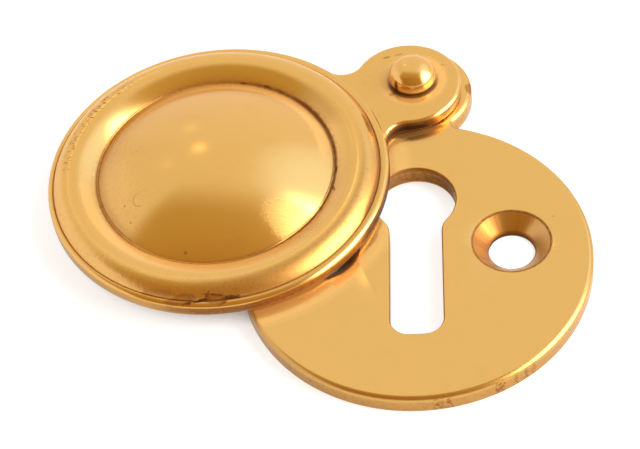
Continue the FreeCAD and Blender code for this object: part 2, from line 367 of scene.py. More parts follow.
def turned_tree():
    """Turns a profile about an upright axis and sets copies of it in a row."""
    tree = bpy.data.node_groups.get("Turned form")
    if tree:
        return tree
    tree = bpy.data.node_groups.new("Turned form", "GeometryNodeTree")
    sockets = (("Profile", "NodeSocketObject", None), ("Segments", "NodeSocketInt", 360),
               ("Spindle", "NodeSocketFloat", SPINDLE), ("Count", "NodeSocketInt", 1),
               ("First", "NodeSocketVector", None), ("Step", "NodeSocketVector", None),
               ("Rim from", "NodeSocketFloat", 1.0), ("Rim shift", "NodeSocketVector", None),
               ("Brass", "NodeSocketMaterial", None))
    for name, kind, value in sockets:
        socket = tree.interface.new_socket(name, in_out="INPUT", socket_type=kind)
        if value is not None:
            socket.default_value = value
    tree.interface.new_socket("Geometry", in_out="OUTPUT", socket_type="NodeSocketGeometry")
    group = tree.nodes.new("NodeGroupInput").outputs

    def node(kind, settings=None, **inputs):
        made = tree.nodes.new(kind)
        for key, value in (settings or {}).items():
            setattr(made, key, value)
        for key, value in inputs.items():
            socket = made.inputs[key.replace("_", " ")]
            if isinstance(value, bpy.types.NodeSocket):
                tree.links.new(value, socket)
            else:
                socket.default_value = value
        return made

    drawn = node("GeometryNodeObjectInfo", Object=group["Profile"])
    profile = node("GeometryNodeMeshToCurve", Mesh=drawn.outputs["Geometry"])
    spindle = node("GeometryNodeCurvePrimitiveCircle", Resolution=group["Segments"],
                   Radius=group["Spindle"])
    skin = node("GeometryNodeCurveToMesh", Curve=spindle.outputs["Curve"],
                Profile_Curve=profile.outputs["Curve"])
    here = node("GeometryNodeInputPosition")
    split = node("ShaderNodeSeparateXYZ", Vector=here.outputs["Position"])
    flat = node("ShaderNodeCombineXYZ", X=split.outputs["X"], Y=split.outputs["Y"])
    radius = node("ShaderNodeVectorMath", {"operation": "LENGTH"}, Vector=flat.outputs["Vector"])
    rim = node("FunctionNodeCompare", {"data_type": "FLOAT", "operation": "GREATER_THAN"})
    tree.links.new(radius.outputs["Value"], rim.inputs[0])
    tree.links.new(group["Rim from"], rim.inputs[1])
    shifted = node("GeometryNodeSetPosition", Geometry=skin.outputs["Mesh"],
                   Selection=rim.outputs["Result"], Offset=group["Rim shift"])
    closed = node("GeometryNodeMergeByDistance", Geometry=shifted.outputs["Geometry"],
                  Distance=0.0005 * MM)
    row = node("GeometryNodeMeshLine", Count=group["Count"], Start_Location=group["First"],
               Offset=group["Step"])
    copies = node("GeometryNodeInstanceOnPoints", Points=row.outputs["Mesh"],
                  Instance=closed.outputs["Geometry"])
    real = node("GeometryNodeRealizeInstances", Geometry=copies.outputs["Instances"])
    brass = node("GeometryNodeSetMaterial", Geometry=real.outputs["Geometry"],
                 Material=group["Brass"])
    out = tree.nodes.new("NodeGroupOutput")
    tree.links.new(brass.outputs["Geometry"], out.inputs["Geometry"])
    return tree


def turned(name, profile, material, **values):
    """A mesh object turned from (radius, height) points: from the top down, a hole upward."""
    data = bpy.data.meshes.new(name + "_profile")
    data.from_pydata([(r - SPINDLE, -z, 0) for r, z in profile],
                     [(i, i + 1) for i in range(len(profile) - 1)], [])
    drawn = add_object(name + "_profile", data)
    holder = add_object(name + "_turned", bpy.data.meshes.new(name + "_holder"))
    tree = turned_tree()
    modifier = holder.modifiers.new("turned", "NODES")
    modifier.node_group = tree
    inputs = {"Profile": drawn, "Spindle": SPINDLE, "Brass": material, **values}
    for item in tree.interface.items_tree:
        if item.item_type == "SOCKET" and item.in_out == "INPUT" and item.name in inputs:
            value = inputs[item.name]
            modifier[item.identifier] = list(value) if isinstance(value, Vector) else value
    piece = as_plain_mesh(holder, name)
    bpy.data.objects.remove(drawn)
    return piece


def arc_profile(centre, radius, start, end, steps):
    """(radius, height) points along an arc between two of its points."""
    a = math.atan2(start[1] - centre[1], start[0] - centre[0])
    b = math.atan2(end[1] - centre[1], end[0] - centre[0])
    return [(centre[0] + radius * math.cos(t), centre[1] + radius * math.sin(t))
            for t in (a + (b - a) * i / steps for i in range(steps + 1))]


def tangent_point(point, centre, radius):
    """Where a line from a point touches a circle on its upper side."""
    across, up = centre[0] - point[0], centre[1] - point[1]
    far = math.hypot(across, up)
    swing = math.atan2(up, across) + math.asin(radius / far)
    run = math.sqrt(far ** 2 - radius ** 2)
    return point[0] + run * math.cos(swing), point[1] + run * math.sin(swing)


# Brass, as shader expressions

class Signal:
    """A socket of a shader's tree that adds Math nodes when it is used in arithmetic."""

    def __init__(self, shader, socket):
        self.shader = shader
        self.socket = socket

    def __add__(self, other):
        return self.shader.maths("ADD", self, other)

    def __sub__(self, other):
        return self.shader.maths("SUBTRACT", self, other)

    def __rsub__(self, other):
        return self.shader.maths("SUBTRACT", other, self)

    def __mul__(self, other):
        return self.shader.maths("MULTIPLY", self, other)

    def __truediv__(self, other):
        return self.shader.maths("DIVIDE", self, other)

    def __pow__(self, other):
        return self.shader.maths("POWER", self, other)

    __radd__ = __add__
    __rmul__ = __mul__

    def larger(self, other):
        return self.shader.maths("MAXIMUM", self, other)

    def smaller(self, other):
        return self.shader.maths("MINIMUM", self, other)

    def ramp(self, low, high):
        """0 below low, 1 above high, smooth between; falls instead where low is the larger."""
        settings = {"interpolation_type": "SMOOTHSTEP"}
        if low < high:
            return self.shader.node("ShaderNodeMapRange", settings, [self, low, high, 0.0, 1.0])
        return self.shader.node("ShaderNodeMapRange", settings, [self, high, low, 1.0, 0.0])


class Shader:
    """Builds one node tree."""

    def __init__(self, tree):
        self.tree = tree
        tree.nodes.clear()

    def node(self, kind, settings=None, inputs=(), output=0):
        made = self.tree.nodes.new(kind)
        for key, value in (settings or {}).items():
            setattr(made, key, value)
        pairs = inputs.items() if isinstance(inputs, dict) else enumerate(inputs)
        for key, value in pairs:
            if value is None:
                continue
            if isinstance(value, Signal):
                self.tree.links.new(value.socket, made.inputs[key])
            else:
                made.inputs[key].default_value = value
        return Signal(self, made.outputs[output]) if len(made.outputs) else made

    def maths(self, operation, *values):
        return self.node("ShaderNodeMath", {"operation": operation}, values)

    def split(self, vector):
        first = self.node("ShaderNodeSeparateXYZ", None, [vector])
        outputs = first.socket.node.outputs
        return [Signal(self, outputs[i]) for i in range(3)]

    def mix(self, factor, first, second):
        settings = {"data_type": "RGBA"}
        made = self.node("ShaderNodeMix", settings, {0: factor}, 2)
        node = made.socket.node
        for socket, value in ((node.inputs[6], first), (node.inputs[7], second)):
            if isinstance(value, Signal):
                self.tree.links.new(value.socket, socket)
            else:
                socket.default_value = (*value, 1)[:4]
        return made

    def noise(self, vector, scale, detail=3.0, rough=0.55, warp=0.0):
        return self.node("ShaderNodeTexNoise", None,
                         {"Vector": vector, "Scale": scale, "Detail": detail,
                          "Roughness": rough, "Distortion": warp})

    def ray(self, flag):
        """1 for one kind of ray, such as Is Camera Ray."""
        return self.node("ShaderNodeLightPath", None, (), flag)

    def end(self, kind, surface):
        """Adds the tree's output node."""
        out = self.tree.nodes.new(kind)
        self.tree.links.new(surface.socket, out.inputs["Surface"])



class BrassShader(Shader):
    """Shader expressions in millimetres of the part's own frame."""

    def __init__(self, tree, look):
        super().__init__(tree)
        self.look = look
        in_metres = self.node("ShaderNodeTexCoord", None, (), "Object")
        self.place = self.node("ShaderNodeVectorMath", {"operation": "SCALE"},
                               {0: in_metres, "Scale": 1000.0})
        self.x, self.y, self.z = self.split(self.place)
        self.facing = self.split(self.node("ShaderNodeNewGeometry", None, (), "Normal"))[2]
        self.patch = self.noise(self.place, 0.35, 4.0, 0.6)
        self.speck = self.noise(self.place, 2.6, 3.0, 0.7)
        self.fleck = self.noise(self.place, 7.0, 2.0, 0.6)

    def spot(self, x, y, wide, high, angle=0.0, soft=0.35, ragged=1.4):
        """A ragged elliptic mark in plan, 1 inside and 0 outside."""
        cos, sin = math.cos(math.radians(angle)), math.sin(math.radians(angle))
        dx, dy = self.x - x, self.y - y
        along = (dx * cos + dy * sin) / wide
        across = (dy * cos - dx * sin) / high
        reach = along * along + across * across + (self.speck + self.fleck - 1.0) * ragged
        return reach.ramp(1 + soft, 1 - soft)

    def marks(self, spots, soft=0.35, ragged=1.4):
        """The darkest of several spots, each (x, y, wide, high, angle, strength)."""
        total = None
        for x, y, wide, high, angle, strength in spots:
            mark = self.spot(x, y, wide, high, angle, soft, ragged) * strength
            total = mark if total is None else total.larger(mark)
        return total

    def radius(self, centre):
        dx, dy = self.x - centre[0], self.y - centre[1]
        return (dx * dx + dy * dy) ** 0.5

    def angle(self, centre):
        return self.maths("ARCTAN2", self.y - centre[1], self.x - centre[0])

    def band(self, value, middle, half, soft):
        """1 within half of the middle, fading out over soft."""
        away = self.maths("ABSOLUTE", value - middle)
        return away.ramp(half + soft, half)

    def bands(self, angle, scale, seed):
        """Noise that changes only with an angle, such as tool chatter round a hole."""
        line = self.node("ShaderNodeCombineXYZ", None, [angle * scale, seed, 0.0])
        return self.noise(line, 1.0, 2.0, 0.6)

    def streaks(self, scale, angle, detail=2.0, rough=0.6):
        """Noise drawn out along one direction of the plan."""
        turned_place = self.node("ShaderNodeMapping", None,
                                 {"Vector": self.place, "Rotation": (0, 0, angle), "Scale": scale})
        return self.noise(turned_place, 1.0, detail, rough)

    def polish_marks(self, fine=1.0):
        """Slow waves and crossed hairlines of a hand-buffed face, as a height in millimetres."""
        waves = self.noise(self.place, 0.16, 2.0, 0.45) * 0.006
        ripple = self.noise(self.place, 0.8, 3.0, 0.5) * 0.0012
        hairlines = self.streaks((0.5, 13.0, 5.0), 0.55) + self.streaks((11.0, 0.45, 5.0), -0.25)
        return waves + ripple + hairlines * (0.0003 * fine)

    def finish(self, clean, tarnish, grime, height, extra_rough=0.0, unpolished=0.0):
        """Brass that goes from clean through brown tarnish to dark grime; the tarnish and grime
        masks also carry painted shade.
        """
        base = self.mix(tarnish.smaller(1.0), clean, self.look.tarnish)
        base = self.mix(grime.smaller(1.0), base, self.look.grime)
        dull = (tarnish * 0.22 + grime * 0.3).smaller(0.4)
        rough = self.patch * 0.06 + (self.look.polish - 0.03) + dull + extra_rough
        shade = self.node("ShaderNodeBump", None, {"Distance": 0.001, "Height": height})
        brass = self.node("ShaderNodeBsdfPrincipled", None,
                          {"Base Color": base, "Roughness": rough,
                           "Metallic": 1 - self.look.haze - unpolished * 0.4, "Normal": shade})
        self.end("ShaderNodeOutputMaterial", brass)


def new_brass(name, look):
    material = bpy.data.materials.new(name)
    material.use_nodes = True
    return material, BrassShader(material.node_tree, look)


def plate_brass(scene):
    """Buffed brass of the plate, browner on its edges and turned inside the countersinks, with
    painted shade in its holes, under the ear and along the cover's rim.
    """
    look, p = scene.escutcheon_brass, scene.escutcheon_plate
    material, s = new_brass("plate_brass", look)
    top = p.thickness / MM
    front = s.z.ramp(0.02, 0.2)
    upright = s.facing.ramp(0.55, 0.1) * front
    edge = upright * s.z.ramp(top - 0.2, top - 0.8)
    tarnish = (s.speck.ramp(0.62, 0.8) * 0.10 + s.patch.ramp(0.56, 0.8) * 0.06
               + edge * (0.38 + s.speck.ramp(0.5, 0.72) * 0.3))
    from_disc = s.radius((0, p.disc_drop / -MM))
    # The walls of the keyhole and screw holes are painted darker as shade; the keyhole's far wall
    # gets a painted dark reflection of the shaded floor, darkest on the right.
    inside = from_disc.ramp(13.0, 12.0) * upright
    far_wall_reflection = inside * s.y.ramp(5.5, 7.5)
    tarnish = tarnish + inside * 0.3 + far_wall_reflection * (0.12 + s.speck.ramp(0.4, 0.7) * 0.25)
    grime = far_wall_reflection * s.x.ramp(-1.0, 3.5) * 0.45
    height = s.polish_marks()
    cones = 0.0
    seat, hole = p.countersink / 2 / MM, p.screw_hole / 2 / MM
    for side in (-1, 1):
        centre = (side * p.screw_spacing / 2 / MM, 0)
        away, turn_at = s.radius(centre), s.angle(centre)
        cone = away.ramp(seat + 0.02, seat - 0.04) * front
        chatter = s.bands(turn_at, 3.2, 1.3 * side)
        hair = s.bands(turn_at, 16.0, 7.1 * side)
        rim = s.band(away, seat + 0.03, 0.05, 0.10) * front
        rim = rim * (0.55 + s.speck.ramp(0.3, 0.7) * 0.5)
        foot = s.band(away, hole + 0.03, 0.05, 0.12) * front * 0.5
        across = s.maths("COSINE", turn_at)
        cut = chatter.ramp(0.35, 0.7) * 0.2 + hair.ramp(0.5, 0.75) * 0.22
        # The left side of each countersink is painted darker: painted shade that dims its highlight.
        tarnish = tarnish + cone * (cut * across.ramp(0.8, 0.2) + across.ramp(0.0, -0.7) * 0.45)
        tarnish = tarnish + rim + foot
        grime = grime + rim * 0.25
        dulled = s.maths("SINE", turn_at).ramp(0.75, 0.1) * cone
        cones = cones + dulled
        height = height + cone * (chatter * 0.035 + hair * 0.010)
        # The lower part of each bore is painted dark as shade.
        bore = away.ramp(hole + 0.06, hole + 0.02)
        grime = grime + bore * s.z.ramp(top - 1.3, top - 1.6) * 0.7
    worn = s.marks([(2.1, -16.9, 0.9, 0.5, 10, 0.6), (7.2, -15.6, 0.5, 0.4, 0, 0.9),
                    (8.8, -14.9, 0.5, 0.3, 0, 0.8), (9.6, -14.3, 0.7, 0.3, 30, 0.7),
                    (10.3, -13.7, 0.4, 0.3, 0, 0.7)])
    worn = worn * s.noise(s.place, 3.6, 2.0, 0.6, 0.8).ramp(0.44, 0.62) * s.z.ramp(top, top - 0.5)
    dots = s.marks([(5.4, 19.3, 0.4, 0.7, 0, 0.7), (3.2, 3.8, 0.1, 0.08, 0, 0.5),
                    (12.6, 2.7, 0.12, 0.08, 0, 0.4)])
    # Painted shadow and dark reflection of the cover's ear on the plate.
    under_ear_shade = s.marks([(-0.9, 13.6, 2.3, 0.42, 6, 0.9), (1.8, 14.3, 1.2, 0.3, 12, 0.7)], 0.5)
    under_ear_shade = under_ear_shade * s.z.ramp(1.0, 1.5)
    # A painted shadow line on the plate along the shut cover's rim.
    rim_line = s.radius(swung(shut_centre()) / MM)
    reach = cover_radii()[0] / MM
    rim_shadow = s.band(rim_line, reach + 0.15, 0.15, 0.35) * (0.5 + s.speck * 0.6) * (front - upright)
    shaded = s.band(rim_line, reach + 0.4, 0.9, 1.1) * front * 0.9
    key_edge = (from_disc.ramp(13.6, 13.2) * s.x.ramp(4.6, 4.2)
                * s.x.ramp(-4.6, -4.2) * s.facing.ramp(0.97, 0.85) * s.z.ramp(top - 0.5, top - 0.3))
    bevel = s.facing.ramp(0.97, 0.85) * s.facing.ramp(0.2, 0.4)
    tarnish = tarnish + worn + dots + under_ear_shade * 0.8 + rim_shadow * 0.22 + key_edge * 0.5
    tarnish = tarnish + bevel * 0.36 + s.fleck.ramp(0.45, 0.8) * 0.04
    s.finish(look.plate, tarnish, grime + under_ear_shade * 0.4, height, cones * 0.06 + bevel * 0.04,
             shaded.larger(cones).larger(under_ear_shade))
    return material


def cover_brass(scene):
    """Worn brass of the cover, with grime and painted shade in the groove, a grained ring, and
    painted shade on the near flank, the low wall, the ear and round the rivet.
    """
    look, c = scene.escutcheon_brass, scene.escutcheon_cover
    material, s = new_brass("cover_brass", look)
    outer, crease, crest, groove = (r / MM for r in cover_radii())
    middle = emboss_centre() / MM
    away, turn_at = s.radius(middle), s.angle(middle)
    near = s.maths("SINE", turn_at) * -1
    nearer = near.ramp(-0.35, 0.25)
    right = s.maths("COSINE", turn_at)
    upper = s.facing.ramp(-0.3, -0.1)

    tarnish = (s.speck.ramp(0.60, 0.8) * 0.10 + s.patch.ramp(0.52, 0.8) * 0.08
               + s.fleck.ramp(0.45, 0.8) * 0.07)
    height = s.polish_marks()

    # Groove: a soft brown line of painted shade, with grime darkest on the right; painted shade
    # beside it, with dirt stronger on the right, and the dome darker on its left beside it
    line = s.band(away, groove - 0.04, 0.08, 0.20) * (0.6 + s.speck * 0.5)
    groove_shade_and_dirt = s.band(away, groove, 0.15, 0.5) * s.speck.ramp(0.3, 0.75)
    tarnish = (tarnish + line * (0.35 + right.ramp(-0.2, 0.7) * 0.4)
               + groove_shade_and_dirt * (0.22 + right.ramp(0.3, 0.9) * 0.2))
    left_dome = s.band(away, groove - 0.3, 0.1, 0.8) * right.ramp(-0.4, -0.85)
    tarnish = tarnish + left_dome * away.ramp(groove + 0.1, groove) * 0.28
    grime = line * right.ramp(0.0, 0.9) * 0.5
    far_left = (right + near).ramp(0.3, -0.6)
    smears = s.bands(turn_at, 26.0, 4.0)
    tarnish = tarnish + (away.ramp(8.2, 10.8) * away.ramp(groove + 0.1, groove - 0.1) * far_left
                         * (0.16 + smears.ramp(0.40, 0.75) * s.speck.ramp(0.3, 0.6) * 0.12))
    speckled = s.band(turn_at, 2.9, 0.35, 0.4) * s.band(away, 8.8, 1.2, 1.2)
    turned_left = s.band(turn_at, -2.8, 0.35, 0.3) * s.band(away, 8.8, 1.2, 1.2)
    tarnish = tarnish + speckled.larger(turned_left) * s.fleck.ramp(0.60, 0.72) * 0.35

    browned = s.band(turn_at, 0.64, 0.08, 0.24) * s.band(away, 11.9, 0.3, 1.3)
    tarnish = tarnish + browned * 0.32

    # Ring flank and lip: grained like a casting that was only rubbed over
    flank = s.band(away, (crest + crease) / 2 + 0.15, 0.65, 0.5)
    grained = flank * (0.25 + nearer * 0.75)
    height = height + grained * (s.noise(s.place, 2.2, 3.0, 0.65) * 0.016 + s.fleck * 0.009)
    grain = s.noise(s.place, 3.4, 2.0, 0.6).ramp(0.52, 0.75)
    tarnish = tarnish + grained * grain * (0.12 + right.ramp(-0.8, 0.0) * 0.18)
    # The near flank is painted darker, a painted shade for the dark it reflects, strongest towards
    # the right.
    tarnish = tarnish + flank * nearer * right.ramp(-0.4, 0.3) * 0.42
    # The crease is painted darker as shade, more on the near side.
    crease_line = s.band(away, crease + 0.03, 0.03, 0.08)
    tarnish = tarnish + crease_line * (0.12 + nearer * 0.3)

    # Rows of small dark pits on the left of the ring
    left_side = s.band(turn_at, 2.7, 0.35, 0.3) * s.band(away, crest + 0.35, 0.25, 0.35)
    nicks = s.streaks((2.2, 5.5, 2.0), 0.9)
    tarnish = tarnish + nicks.ramp(0.54, 0.63) * left_side * 0.8

    # Tarnish lines on the near rim, pits on the dome, and grime with a painted shadow round the
    # rivet
    burnt = s.marks([(-20.3, -6.95, 0.5, 0.15, 0, 0.9), (-19.2, -6.75, 0.95, 0.11, 9, 0.95),
                     (-18.5, -6.4, 0.35, 0.13, 50, 0.8), (-17.8, -6.42, 0.95, 0.08, -3, 0.8),
                     (-16.4, -6.52, 0.85, 0.12, 8, 0.95), (-17.1, -7.0, 0.45, 0.10, 25, 0.7)],
                    0.8, 2.6)
    warm = s.marks([(-21.0, -6.6, 1.4, 0.4, 0, 0.55), (-17.8, -6.75, 1.0, 0.35, 0, 0.5),
                    (-23.0, -5.9, 1.6, 0.3, -12, 0.35)])
    pits = s.marks([(-20.74, -1.53, 0.13, 0.13, 0, 0.7), (-26.66, 3.96, 0.1, 0.1, 0, 0.5),
                    (-26.0, 2.13, 0.1, 0.1, 0, 0.4), (-16.4, 19.7, 0.3, 0.1, -10, 0.6),
                    (-14.05, 19.06, 0.35, 0.1, -25, 0.7), (-7.2, 8.0, 0.12, 0.35, 0, 0.7),
                    (-7.4, 5.6, 0.12, 0.45, 15, 0.7), (-8.5, 3.2, 0.12, 0.2, 30, 0.6)])
    hook = (s.band(s.radius((-25.1, 4.3)), 0.75, 0.01, 0.09) * s.x.ramp(-24.9, -25.2)
            * s.y.ramp(5.2, 4.7)) * 0.5
    pivot = pivot_point() / MM
    from_rivet = s.radius(pivot)
    # Painted shadow round the rivet's foot, strongest on its near side, over a faint ring of grime.
    rivet_ring = s.band(from_rivet, 2.2, 0.12, 0.3)
    rivet_dirt_and_shadow = rivet_ring * (s.y.ramp(pivot.y + 0.9, pivot.y - 1.2) * 0.7 + 0.2)
    ear = s.marks([(-2.5, 22.5, 0.35, 0.13, 15, 0.6), (-1.3, 22.8, 0.4, 0.10, 10, 0.45),
                   (2.86, 21.12, 0.15, 0.12, 0, 0.5), (-1.9, 17.6, 0.4, 0.22, 30, 0.6)])
    ear_side = s.facing.ramp(0.75, 0.4) * s.x.ramp(-5.0, -4.0)
    # The ear's low wall over the gap is painted dark as the gap's shade, darkest at its foot.
    ear_wall_shade = ear_side * s.y.ramp(16.0, 15.0) * s.x.ramp(2.4, 0.6) * (0.6 + s.speck * 0.6)
    tarnish = tarnish + ear_side * 0.22
    gap_shade = ear_wall_shade * s.z.ramp(2.95, 2.45) * 0.7
    tarnish = tarnish + burnt + warm + pits * 0.8 + hook * 0.7 + rivet_dirt_and_shadow + ear + ear_wall_shade
    grime = (grime + burnt.ramp(0.4, 1.0) * 0.7 + pits * 0.4 + rivet_dirt_and_shadow * 0.5
             + ear_wall_shade * 0.6 + gap_shade)

    # A patch of crossing scratches low on the dome
    brushed = s.spot(-11.2, 1.6, 2.7, 1.8, -30, 0.8)
    lines = s.streaks((0.7, 8.0, 2.0), -0.75, 3.0, 0.65)
    height = height + brushed * (lines * 0.012)
    tarnish = tarnish + brushed * lines.ramp(0.42, 0.62) * 0.22
    # The near side of the slope and the far edge of the dome are duller and a little darker: painted
    # dimming of the reflections between them.
    valley = s.band(away, groove, 1.2, 0.5) * ((away - groove) * near).ramp(-0.1, 0.25)
    valley = valley * (1 - left_dome)
    tarnish = tarnish + valley * 0.08
    lip_top = (cover_base() + c.lip) / MM
    # The cover's low wall over the plate on the near right is painted dark as shade of the gap; all
    # walls facing sideways are a little darker too.
    low_wall_shade = (s.facing.ramp(0.6, 0.2) * s.z.ramp(lip_top - 0.25, lip_top - 0.5)
                * (near + right).ramp(0.5, 1.1) * away.ramp(outer - 0.8, outer - 0.6))
    tarnish = tarnish + low_wall_shade * (0.65 + s.speck * 0.5) + s.facing.ramp(0.4, 0.1) * 0.3
    grime = grime + low_wall_shade * s.speck.ramp(0.3, 0.8) * 0.5
    rough = grained * 0.08 + brushed * 0.16
    s.finish(look.cover, tarnish * upper, grime * upper, height, rough,
             valley.larger(low_wall_shade).larger(ear_wall_shade).larger(s.band(from_rivet, 2.4, 0.6, 0.6)))
    return material


def rivet_brass(scene):
    """Brass of the rivet, brightest on its crown, with painted shade at the foot of its head."""
    look = scene.escutcheon_brass
    material, s = new_brass("rivet_brass", look)
    seat = (cover_base() + scene.escutcheon_cover.ear) / MM
    head = s.z.ramp(seat - 0.5, seat - 0.2)
    # Painted contact shadow round the foot of the head.
    foot = s.z.ramp(seat + 0.55, seat + 0.1) * head
    notch = s.marks([(-1.6, 17.75, 0.2, 0.3, 0, 0.9)], 0.6)
    lower = s.z.ramp(seat + 1.1, seat + 0.5) * head
    tarnish = s.speck.ramp(0.6, 0.8) * 0.12 + foot * 0.7 + notch
    s.finish(look.cover, tarnish, foot * 0.5 + notch * 0.7, s.polish_marks(0.6), 0.02,
             lower * 1.5)
    return material


# Operators

class ESCUTCHEON_OT_plate(bpy.types.Operator):
    """Builds the backplate with its keyhole and countersunk screw holes"""
    bl_idname = "escutcheon.plate"
    bl_label = "Backplate"

    def execute(self, context):
        p = context.scene.escutcheon_plate
        rivet = context.scene.escutcheon_rivet
        material = plate_brass(context.scene)
        mesh = bmesh.new()
        disc, pivot = disc_centre(), pivot_point()
        outline = self.outline(p, disc, pivot)
        low, high = wall(mesh, outline, back_rounding(p.back_break, 0)
                         + rounding(p.edge_round, p.thickness))
        key_low, key_high = wall(mesh, self.keyhole(p, disc),
                                 [(0, 0), (0, 0.4 * MM)] + [(-d, z) for d, z in
                                 rounding(p.keyhole_edge, p.thickness, 5)], True)
        seats = self.screw_seats(p, material)
        seat_rims = self.take_seats(mesh, seats, p)
        bore = circle(pivot, rivet.shank / 2)
        flare = (rivet.tail - rivet.shank) / 2
        bore_low, bore_high = wall(mesh, bore, [(-flare, 0), (0, rivet.tail_depth),
                                                (0, p.thickness)], True)
        cap(mesh, [high, key_high, bore_high] + [rim[1] for rim in seat_rims], True)
        cap(mesh, [low, key_low, bore_low] + [rim[0] for rim in seat_rims], False)
        place(finish_mesh(mesh, "plate_body"), material, "plate", "plate_brass", "backplate")
        return {"FINISHED"}

    def outline(self, p, disc, pivot):
        radius = p.diameter / 2
        ear = ear_run(disc, radius, pivot, p.ear_radius, p.neck_round)
        start = heading(disc, ear[-1][0])
        end = heading(disc, ear[0][0]) + math.tau
        return without_repeats(ear + arc_points(disc, radius, start, end))

    def keyhole(self, p, disc):
        """Round hole and slot, with the corners between them rounded."""
        top = disc + Vector((0, p.keyhole_rise, 0))
        end = top - Vector((0, p.slot_reach, 0))
        half = p.slot_width / 2
        side = half + p.corner_round
        drop = math.sqrt((p.keyhole_radius + p.corner_round) ** 2 - side ** 2)
        right, left = top + Vector((side, -drop, 0)), top + Vector((-side, -drop, 0))
        run = arc_points(top, p.keyhole_radius, heading(top, right),
                         heading(top, left) + math.tau)
        run += arc_points(left, p.corner_round, heading(left, top), 0.0, -1)
        foot = end.y - half + p.end_round
        run += arc_points(Vector((p.end_round - half, foot, 0)), p.end_round, math.pi,
                          1.5 * math.pi)
        run += arc_points(Vector((half - p.end_round, foot, 0)), p.end_round, 1.5 * math.pi,
                          math.tau)
        run += arc_points(right, p.corner_round, math.pi, heading(right, top), -1)
        return without_repeats(run)

    def screw_seats(self, p, material):
        """Both countersunk holes, turned once and set in a row."""
        hole, seat = p.screw_hole / 2, p.countersink / 2
        brim = 0.07 * MM
        floor = p.thickness - (seat - hole)
        profile = [(seat + brim, p.thickness), (seat + 0.02 * MM, p.thickness - 0.015 * MM),
                   (seat - brim * 0.7, p.thickness - brim * 0.8),
                   (hole + 0.05 * MM, floor + 0.05 * MM), (hole, floor - 0.03 * MM), (hole, 0.0)]
        return turned("screw_seats", profile[::-1], material, Count=2, Segments=240,
                      First=Vector((-p.screw_spacing / 2, 0, 0)),
                      Step=Vector((p.screw_spacing, 0, 0)))

    def take_seats(self, mesh, seats, p):
        """Adds the seats to the plate's mesh and returns each one's low and high rim."""
        before = len(mesh.verts)
        absorb(mesh, seats)
        mesh.verts.ensure_lookup_table()
        added = mesh.verts[before:]
        rims = []
        for side in (-1, 1):
            pair = []
            for height in (0.0, p.thickness):
                ring = [v for v in added if v.co.x * side > 0 and abs(v.co.z - height) < SAME_POINT]
                centre = Vector((side * p.screw_spacing / 2, 0, 0))
                pair.append(sorted(ring, key=lambda v: heading(centre, v.co)))
            rims.append(pair)
        return rims


